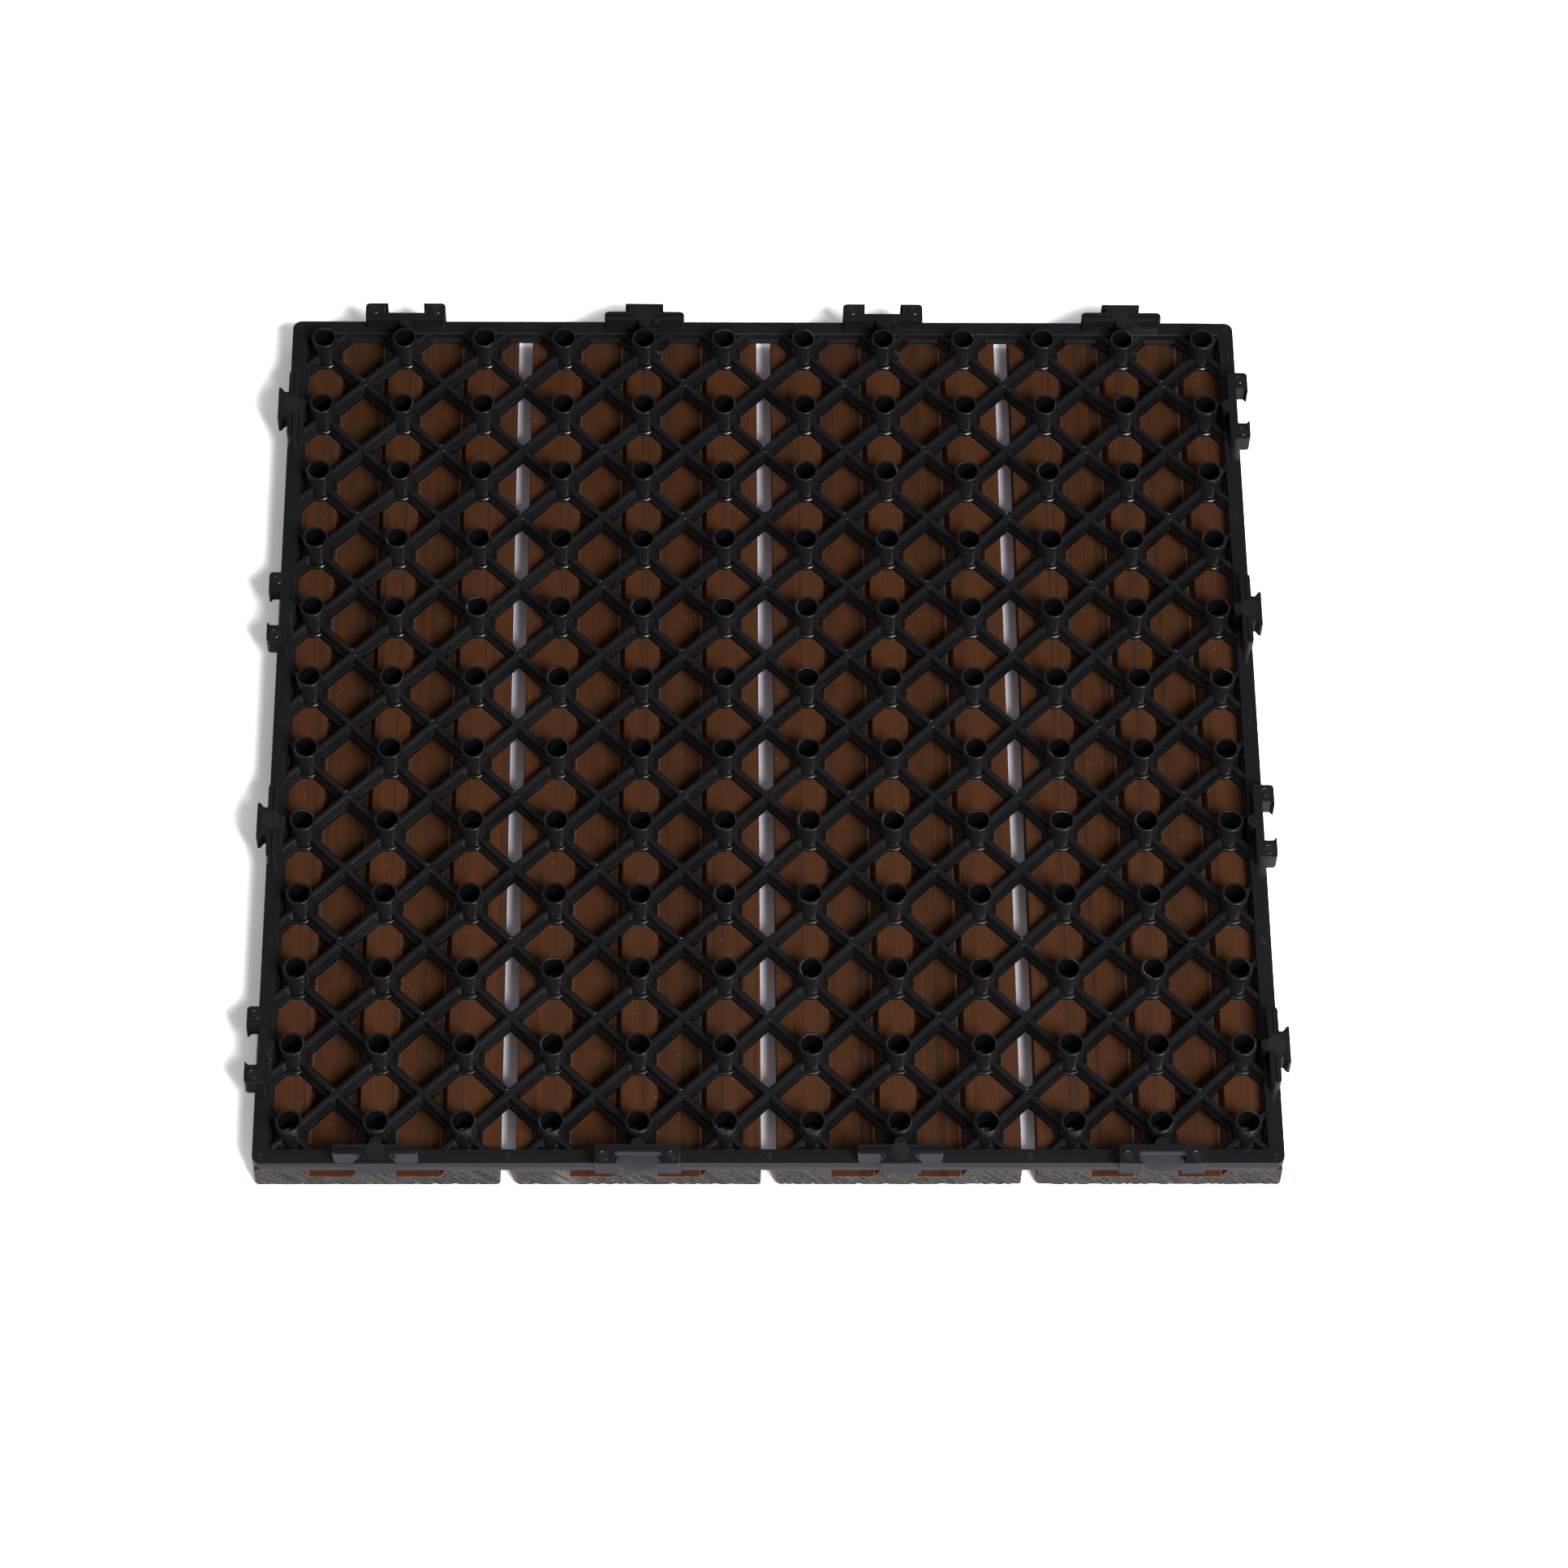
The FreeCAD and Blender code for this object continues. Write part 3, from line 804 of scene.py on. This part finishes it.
# The clips of the far side. Places are from the tile's middle, and halves from the
# clip's own middle line.
clip = {
    "width": 25.0,
    "outside": 151.0,
    "back": 144.7,
    "bottom": 12.7,
    "top": 19.42,
    "edge": 0.28,
    "pocketFloor": 147.3,
    "pocketHalf": 6.6,
    "pocketCorners": (1.2, 1.3, 0.15, 0.25, 0.3),
    "mouthHalf": 5.4,
    "hook": 1.1,            # how thick the two hooks at a pocket's mouth are
    "tongueRoot": 147.95,
    "tongueHalf": 5.95,
    "tongueLand": 0.8,
    "tongueCorners": (1.45, 1.45, 0.5, 0.4, 0.15, 0.2),
    "neckHalf": 4.3,
    "neckSlope": (0.15, 1.1),
    "nubRadius": 2.25,      # the round post at the back of a clip
    "tongueNubRadius": 1.95,
    "tongueNubBack": 0.45,  # how much further back it stands behind a tongue
    "nubAround": 24,
    "markRadius": 1.5,
    "markRise": 0.13,
    "markAside": 9.75,
    "markOut": 148.4,
    "bigMarkRadius": 2.9,
    "bigMarkRise": 0.07,
    "bigMarkOut": 147.0,
    "apronTop": 17.2,
    "apronFoot": 0.35,
    "domeSphere": 30.0,
    "domeCentre": 118.4,
    "domeGrid": (7, 17),
}


def bothHalves(right, radii):
    corners = right + [(-across, out) for across, out in reversed(right)]
    return corners, radii + radii[::-1]


# The levels of a clip: its edges are rounded at the bottom and at the top.
def clipLevels():
    bottom, top, edge = clip["bottom"], clip["top"], clip["edge"]
    return [(bottom, edge), (bottom + edge * 0.3, edge * 0.3), (bottom + edge, 0.0),
            (top - edge, 0.0), (top - edge * 0.3, edge * 0.3), (top, edge)]


def pocketShape():
    side, outside, pocketHalf = clip["width"] / 2, clip["outside"], clip["pocketHalf"]
    right = [(side, clip["back"]), (side, outside), (clip["mouthHalf"], outside),
             (pocketHalf, outside - clip["hook"]), (pocketHalf, clip["pocketFloor"])]
    return raised(*bothHalves(right, clip["pocketCorners"]), clipLevels())


def tongueShape():
    side, outside, root = clip["width"] / 2, clip["outside"], clip["tongueRoot"]
    widening, length = clip["neckSlope"]
    right = [(side, clip["back"]), (side, root), (clip["neckHalf"], root),
             (clip["neckHalf"] + widening, root + length),
             (clip["tongueHalf"], outside - clip["tongueLand"]), (clip["tongueHalf"], outside)]
    return raised(*bothHalves(right, clip["tongueCorners"]), clipLevels())


def nubShape(radius):
    top, low = clip["top"] - 0.02, layout["slatTop"]
    profile = [(radius, low), (radius, top - 0.28), (radius - 0.09, top - 0.08), (radius - 0.28, top)]
    return turned(profile, clip["nubAround"])


# The back wall of a pocket slopes out at its foot to meet the rail's face.
def apronShape():
    face, low, high = layout["railOuter"] + 0.02, layout["railTop"] - 0.4, clip["apronTop"]
    wall, half = clip["pocketFloor"], clip["pocketHalf"] - 0.2
    outline = np.array([(wall - 0.3, low), (face, low), (face, low + clip["apronFoot"]),
                        (wall + 0.02, high), (wall - 0.3, high)])
    return carried(outline, -half, half)


# The shallow dome on the rail's face inside a pocket: part of a sphere whose
# centre lies level with the slats' backs, kept above that level.
def domeShape():
    sphere, centre, low = clip["domeSphere"], clip["domeCentre"], layout["slatTop"] + 0.02
    rings, around = clip["domeGrid"]
    widest = math.acos((layout["railOuter"] - 0.2 - centre) / sphere)
    tilt, turn = np.meshgrid(np.linspace(0.02, widest, rings), np.linspace(0, math.pi, around), indexing="ij")
    across = sphere * np.sin(tilt) * np.cos(turn)
    up = low + sphere * np.sin(tilt) * np.sin(turn)
    ahead = np.stack([across, centre + sphere * np.cos(tilt), up], axis=-1)
    behind = ahead[-1:] - np.array([0, 1.5, 0])
    grid = np.concatenate([ahead, behind])
    quads, caps = tubeFaces(len(grid), around)
    return {"points": grid.reshape(-1, 3), "quads": quads, "caps": caps}


# Pocket clips and tongue clips take turns along a side, one at the middle of each slat.
def makeClips():
    nub = moved(nubShape(clip["nubRadius"]), (0, clip["back"]))
    tongueNub = moved(nubShape(clip["tongueNubRadius"]), (0, clip["back"] - clip["tongueNubBack"]))
    mark = markShape(clip["markRadius"], clip["top"], clip["markRise"])
    marks = repeated(mark, [(side * clip["markAside"], clip["markOut"]) for side in (-1, 1)])
    bigMark = markShape(clip["bigMarkRadius"], clip["top"], clip["bigMarkRise"])
    pocket = [pocketShape(), nub, domeShape(), apronShape()] + marks
    tongue = [tongueShape(), tongueNub, moved(bigMark, (0, clip["bigMarkOut"]))]
    middles = gridLine[1::3]
    pockets = [moved(shape, (across, 0)) for across in middles[::2] for shape in pocket]
    tongues = [moved(shape, (across, 0)) for across in middles[1::2] for shape in tongue]
    makePiece("pocketClips", onFourSides(pockets), plastic)
    makePiece("tongueClips", onFourSides(tongues), plastic)


feetPiece = makeFeet()
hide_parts("base")
makeRimFlash()
makeRibs()
makeCrossings()
makeRail()
makeClips()
print("base made")

screw = {
    "around": 24,
    "sharpAngle": 40,
    "head": 2.5,
    "headHeight": 1.6,
    "shank": 1.5,
    "tip": 2.9,
    "recessDepth": 0.8,
    "recessHalf": 0.45,     # half the width of the cross at its top
    "recessSlope": 0.25,    # and how far its sides slope in
    "recessReach": 1.5,
    "recessFade": 0.5,      # the stretch at the end of an arm where it gets shallow
    "rows": (1, 5, 8, 12),
    "columns": (1, 3, 4, 6, 7, 9, 10, 12),
}


# A pan head with a cross recess: the dome is lowered where either of two crossed
# bands is near, by a straight ramp of the distance to the band's middle line.
def screwShape():
    head, shank, seat = screw["head"], screw["shank"], foot["boreFloor"]
    top = seat + screw["headHeight"]
    profile = [(shank, screw["tip"]), (shank, seat), (head, seat + 0.02), (head, seat + 0.7),
               (head * 0.9, seat + 1.15), (head * 0.7, top - 0.18), (head * 0.5, top - 0.05),
               (0.9, top), (0.6, top), (0.3, top), (0.1, top)]

    def recess(radius, height, angle):
        x, y = radius * np.cos(angle), radius * np.sin(angle)
        band = np.minimum(np.abs(x), np.abs(y))
        inBand = np.clip((screw["recessHalf"] - band) / screw["recessSlope"], 0, 1)
        inReach = np.clip((screw["recessReach"] - radius) / screw["recessFade"], 0, 1)
        depth = screw["recessDepth"] * inBand * inReach
        return radius, height - np.where(height > top - 0.3, depth, 0.0)

    return turned(profile, screw["around"], recess)


def makeScrews():
    shape = screwShape()
    places = [footPlace(column, row) for row in screw["rows"] for column in screw["columns"]]
    turns = random.uniform(0, math.pi, len(places))
    shapes = [moved(shape, place, turn) for place, turn in zip(places, turns)]
    piece = makePiece("screwHeads", shapes, steel, screw["sharpAngle"])
    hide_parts("screws")


slat = {
    "half": 35.25,
    "edgeLand": 15.6,
    "groove": 14.4,
    "slant": 1.5,           # of the right wall of a groove
    "leftSlant": 0.05,      # and of the left one, which is nearly upright
    "footRise": 0.45,       # the low slope at the foot of the right wall
    "footRun": 0.75,
    "backEdge": 0.5,
    "wearEdge": 1.5,
    "grooveEdges": (0.2, 0.15, 0.3, 0.3, 0.3),
    "skin": 0.5,
    "step": 1.0,            # between the points of the outline, for its ragged ends
    "chip": 0.16,           # how deep the sawn edge is chipped
    "lift": 0.25,           # how uneven the lower edge is
}


# A slat's outline from its right lower edge, over the two grooves, to its left one.
def slatCorners():
    top, floor, half, groove = layout["slatTop"], layout["grooveFloor"], slat["half"], slat["groove"]
    wall = half - slat["edgeLand"]
    corners = [(half, 0.0), (half, top)]
    for right in (wall, groove - wall):
        left, wallFoot = right - groove, right - slat["slant"]
        corners += [(right, top), (wallFoot, floor + slat["footRise"]), (wallFoot - slat["footRun"], floor),
                    (left + slat["leftSlant"], floor), (left, top)]
    corners += [(-half, top), (-half, 0.0)]
    radii = [slat["wearEdge"], slat["backEdge"], *slat["grooveEdges"], *slat["grooveEdges"],
             slat["backEdge"], slat["wearEdge"]]
    return corners, radii


# Where to set points on a closed outline so that none is further than a step from
# the next: each is the number of a corner plus the share of the side that follows.
def divisions(outline, step):
    sides = np.linalg.norm(np.roll(outline, -1, axis=0) - outline, axis=1)
    counts = np.ceil(sides / step).astype(int).clip(1)
    return np.concatenate([corner + np.arange(count) / count for corner, count in enumerate(counts)])


def divided(outline, where):
    closed = np.vstack([outline, outline[:1]])
    return np.column_stack([np.interp(where, np.arange(len(closed)), closed[:, axis]) for axis in (0, 1)])


# A board is its outline carried along Y. Near each sawn end the outline is moved in
# along Y and lifted at its lower edge, by a ragged share between 0 and 1.
def slatShape():
    corners, radii = slatCorners()
    skin = slat["skin"]
    where = divisions(rounded(corners, radii, 5), slat["step"])
    end = layout["railOuter"]
    levels = [(end, skin, 1), (end, 0.08, 1), (end - 0.1, 0.0, 1), (end - 0.9, 0.0, 0)]
    levels += [(-along, by, share) for along, by, share in reversed(levels)]
    ragged = {side: random.uniform(0, 1, len(where)) ** 2 for side in (1, -1)}
    rings = []
    for along, by, share in levels:
        across, up = divided(rounded(inset(np.array(corners), by), radii, 5), where).T
        rough = share * ragged[np.sign(along)]
        chipped = along - np.sign(along) * slat["chip"] * rough * (by < skin)
        lifted = up + slat["lift"] * rough * (up < 1.0)
        rings.append(np.column_stack([across, chipped, lifted]))
    quads, caps = tubeFaces(len(levels), len(where))
    mark = np.repeat([float(by == skin) for along, by, share in levels], len(where))
    return {"points": np.concatenate(rings), "quads": quads, "caps": caps, "mark": mark}


def makeSlats():
    for number in range(layout["slats"]):
        shape = moved(slatShape(), (gridLine[1 + 3 * number], 0))
        piece = makePiece(f"board_{number + 1}", [shape], composite)
        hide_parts(f"slat_{number + 1}")


makeScrews()
makeSlats()
print("screws and slats made")


stage = {
    "half": 6.0,
    "level": -0.00002,
    "floor": (0.8, 0.8, 0.82, 1),
    "mirrored": (0.62, 0.60, 0.71, 1),      # as gloss on the tile shows it
    "open": (3.6, 3.56, 3.66, 1),           # as the camera sees it: white beside the tile
    "under": (1.85, 1.78, 2.01, 1),         # and darker under the tile: painted shade, seen pale grey through the gaps between the slats
    "underHalf": 0.1482,
    "underEdge": 0.001,
}


def makeStage():
    mesh = bpy.data.meshes.new("floor")
    half, level = stage["half"], stage["level"]
    corners = [(-half, -half, level), (half, -half, level), (half, half, level), (-half, half, level)]
    mesh.from_pydata(corners, [], [(0, 1, 2, 3)])
    floor = bpy.data.objects.new("floor", mesh)
    bpy.context.scene.collection.objects.link(floor)
    material = bpy.data.materials.new("paleFloor")
    material.use_nodes = True
    tree = material.node_tree
    tree.nodes.clear()
    ray = addNode(tree, "ShaderNodeLightPath").outputs
    mirrored = mathOf(tree, "MAXIMUM", ray["Is Glossy Ray"], ray["Is Transmission Ray"])
    place = axesOf(tree, objectCoordinates(tree))
    away = mathOf(tree, "MAXIMUM", mathOf(tree, "ABSOLUTE", place["X"]), mathOf(tree, "ABSOLUTE", place["Y"]))
    edge, soft = stage["underHalf"], stage["underEdge"]
    beside = rampOf(tree, away, edge - soft, edge + soft)
    # The camera sees the floor under the tile darker than beside it: painted shade.
    seen = mixOf(tree, beside, stage["under"], stage["open"])
    colour = mixOf(tree, mirrored, stage["floor"], stage["mirrored"])
    colour = mixOf(tree, ray["Is Camera Ray"], colour, seen)
    diffuse = addNode(tree, "ShaderNodeBsdfDiffuse", {"Color": colour})
    addNode(tree, "ShaderNodeOutputMaterial", {"Surface": diffuse.outputs[0]})
    mesh.materials.append(material)


lamps = {
    "key": {"place": (0.87, -1.26, 1.58), "size": (0.8, 0.8), "power": 55.5},
    "front": {"place": (0.15, -1.6, 0.7), "size": (1.0, 0.35), "power": 3.6},
}


# Each lamp is turned to the tile's middle.
def makeLamps():
    for name, values in lamps.items():
        lamp = bpy.data.lights.new(name, "AREA")
        lamp.shape = "RECTANGLE"
        lamp.size, lamp.size_y = values["size"]
        lamp.energy = values["power"]
        holder = bpy.data.objects.new(name, lamp)
        holder.location = values["place"]
        away = holder.location.normalized()
        holder.rotation_euler = away.to_track_quat("Z", "Y").to_euler()
        bpy.context.scene.collection.objects.link(holder)


room = {
    "colour": (0.97, 0.98, 1.0, 1),
    "brightness": (0.0, 0.8, 0.36, 0.10),       # from the horizon up, as a ramp
}


# The room: pale low down, darker overhead, and white wherever the camera sees it.
def makeWorld():
    world = bpy.data.worlds.new("studio")
    bpy.context.scene.world = world
    world.use_nodes = True
    tree = world.node_tree
    tree.nodes.clear()
    up = axesOf(tree, addNode(tree, "ShaderNodeTexCoord").outputs["Generated"])["Z"]
    ray = addNode(tree, "ShaderNodeLightPath").outputs["Is Camera Ray"]
    level = mathOf(tree, "MAXIMUM", rampOf(tree, up, *room["brightness"]), ray)
    glow = addNode(tree, "ShaderNodeBackground", {"Color": room["colour"], "Strength": level})
    addNode(tree, "ShaderNodeOutputWorld", {"Surface": glow.outputs[0]})


view = {
    "imageWidth": 1932,
    "focalPixels": 6395.72,
    "sensorWidth": 36.0,
    "place": (-20.27, -815.63, 1345.72),        # mm, from the tile's middle
    "turn": (30.7983, -0.9406, 0.0544),         # degrees, about X, then Y, then Z of the camera
    "nearest": 0.05,
    "furthest": 20.0,
}


def makeCamera():
    camera = bpy.data.cameras.new("camera")
    camera.sensor_width = view["sensorWidth"]
    camera.lens = camera.sensor_width * view["focalPixels"] / view["imageWidth"]
    camera.clip_start, camera.clip_end = view["nearest"], view["furthest"]
    holder = bpy.data.objects.new("camera", camera)
    holder.location = [value * mm for value in view["place"]]
    holder.rotation_mode = "ZYX"
    holder.rotation_euler = [math.radians(angle) for angle in view["turn"]]
    bpy.context.scene.collection.objects.link(holder)
    bpy.context.scene.camera = holder


makeStage()
makeLamps()
makeWorld()
makeCamera()
bpy.context.scene.view_settings.view_transform = "Standard"
print("stage made")
